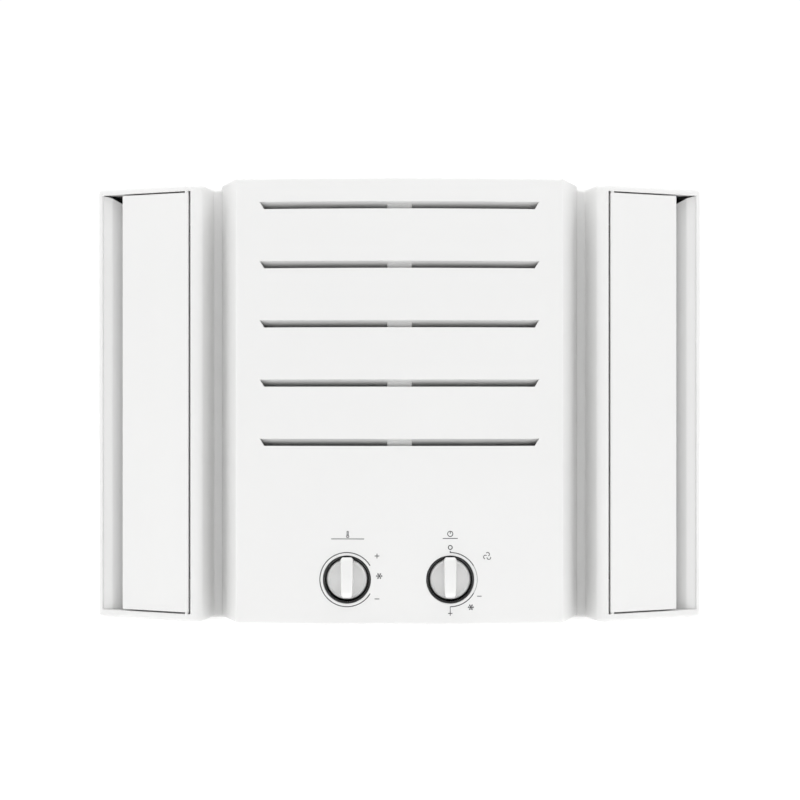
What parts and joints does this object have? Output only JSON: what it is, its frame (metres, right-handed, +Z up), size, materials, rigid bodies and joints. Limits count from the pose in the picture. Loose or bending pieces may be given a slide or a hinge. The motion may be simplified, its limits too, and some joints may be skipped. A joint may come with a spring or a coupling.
{
  "type": "window air conditioner",
  "caption": "Compact through-the-window air conditioner with a bowed slotted front panel, side outlet flaps, rotary knobs and a louvred steel cabinet.",
  "frame": {"origin": "middle of the footprint, on the surface the unit stands on", "axes": "+X to the right seen from the room, +Y towards the outdoor side, +Z up"},
  "size_m": [0.48, 0.551, 0.3435],
  "materials": {
    "white_plastic": "fine satin moulded white",
    "grey_plastic": "satin moulded grey",
    "black_plastic": "semi-gloss black",
    "galvanized_steel": "galvanized sheet with a faint spangle",
    "painted_steel": "off-white powder coat",
    "coil_aluminium": "thin mill-finish fins",
    "pipe_copper": "drawn copper with brazed ends",
    "dark_steel": "black stoved enamel",
    "bush_rubber": "matt black rubber",
    "motor_grey": "grey pressed steel"
  },
  "bodies": {
    "cabinet": {"front_frame": "white_plastic", "centre_panel": "white_plastic", "left_outlet_grille": "grey_plastic", "right_outlet_grille": "grey_plastic", "drain_tray": "grey_plastic", "blower_housing": "grey_plastic", "inlet_ring": "grey_plastic", "fan_shroud": "grey_plastic", "temperature_well": "black_plastic", "mode_well": "black_plastic", "thermostat": "black_plastic", "mode_switch": "black_plastic", "terminal_cover": "black_plastic", "cord_gland": "black_plastic", "drain_spout": "black_plastic", "control_box": "galvanized_steel", "bulkhead": "galvanized_steel", "motor_bracket": "galvanized_steel", "capacitor_clamp": "galvanized_steel", "base_pan": "galvanized_steel", "compressor_bolt_1": "galvanized_steel", "compressor_bolt_2": "galvanized_steel", "compressor_bolt_3": "galvanized_steel", "left_cabinet_screw_1": "galvanized_steel", "left_cabinet_screw_2": "galvanized_steel", "right_cabinet_screw_1": "galvanized_steel", "right_cabinet_screw_2": "galvanized_steel", "cabinet_sleeve": "painted_steel", "rear_guard": "painted_steel", "evaporator_fins": "coil_aluminium", "condenser_fins": "coil_aluminium", "evaporator_left_end": "pipe_copper", "evaporator_right_end": "pipe_copper", "condenser_left_end": "pipe_copper", "condenser_right_end": "pipe_copper", "thermostat_bulb": "pipe_copper", "discharge_line": "pipe_copper", "suction_line": "pipe_copper", "filter_drier": "pipe_copper", "liquid_line": "pipe_copper", "capillary_tube": "pipe_copper", "compressor": "dark_steel", "accumulator": "dark_steel", "compressor_grommet_1": "bush_rubber", "compressor_grommet_2": "bush_rubber", "compressor_grommet_3": "bush_rubber", "fan_motor": "motor_grey", "run_capacitor": "motor_grey"},
    "left_flap": {"left_flap": "white_plastic"},
    "right_flap": {"right_flap": "white_plastic"},
    "temperature_knob": {"temperature_knob": "white_plastic", "temperature_spindle": "galvanized_steel"},
    "mode_knob": {"mode_knob": "white_plastic", "mode_spindle": "galvanized_steel"},
    "air_filter": {"air_filter": "grey_plastic"},
    "fan_rotor": {"fan_shaft": "galvanized_steel", "blower_wheel": "grey_plastic", "condenser_fan": "grey_plastic"}
  },
  "joints": [
    {"name": "left_flap_hinge", "type": "hinge", "parent": "cabinet", "child": "left_flap", "pos_m": [-0.16547, -0.23864, 0.17], "axis": [0, 0, 1], "range_deg": [0, 65]},
    {"name": "right_flap_hinge", "type": "hinge", "parent": "cabinet", "child": "right_flap", "pos_m": [0.16547, -0.23864, 0.17], "axis": [0, 0, -1], "range_deg": [0, 65]},
    {"name": "temperature_turn", "type": "hinge", "parent": "cabinet", "child": "temperature_knob", "pos_m": [-0.0402, -0.2645, 0.0356], "axis": [0, -1, 0], "range_deg": [-53, 233]},
    {"name": "mode_turn", "type": "hinge", "parent": "cabinet", "child": "mode_knob", "pos_m": [0.0388, -0.2645, 0.0356], "axis": [0, -1, 0], "range_deg": [-180, 0]},
    {"name": "filter_slide", "type": "slide", "parent": "cabinet", "child": "air_filter", "axis": [0, 0, 1], "range_m": [0, 0.25]},
    {"name": "fan_spin", "type": "hinge", "parent": "cabinet", "child": "fan_rotor", "pos_m": [0, 0.0305, 0.183], "axis": [0, 1, 0], "continuous": true}
  ]
}
